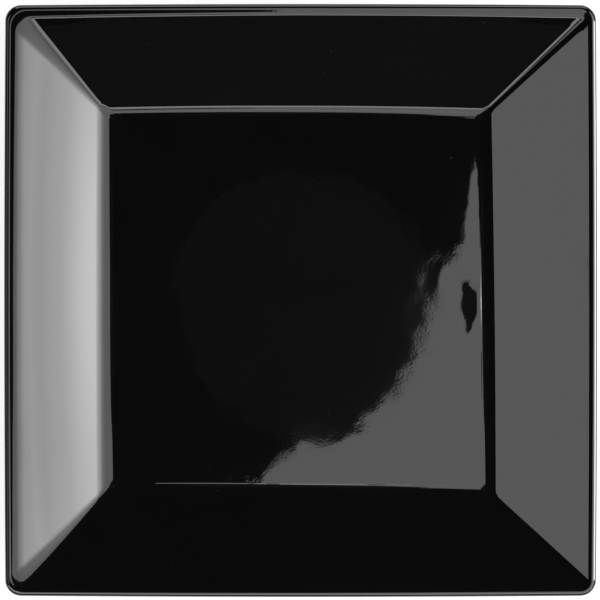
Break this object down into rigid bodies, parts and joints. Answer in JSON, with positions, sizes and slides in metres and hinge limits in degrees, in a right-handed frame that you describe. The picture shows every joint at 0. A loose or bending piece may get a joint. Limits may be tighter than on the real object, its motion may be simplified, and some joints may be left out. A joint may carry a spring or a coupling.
{
  "type": "square dinner plate",
  "caption": "Black gloss square dinner plate in glazed stoneware, 260 mm wide and 25 mm high, with a flat well, four sloping rim facets, a rolled lip and a bare foot ring",
  "frame": {"origin": "on the table under the plate's centre, at the level of the foot ring's standing face", "axes": "+Z up out of the well, +X and +Y square to two neighbouring sides; in the picture +X is right and +Y is up"},
  "size_m": [0.26, 0.26, 0.025],
  "materials": {
    "stoneware": "matte",
    "black_glaze": "gloss"
  },
  "bodies": {
    "root": {"stoneware_body": "stoneware", "face_glaze": "black_glaze", "back_glaze": "black_glaze", "foot_recess_glaze": "black_glaze"}
  },
  "joints": []
}
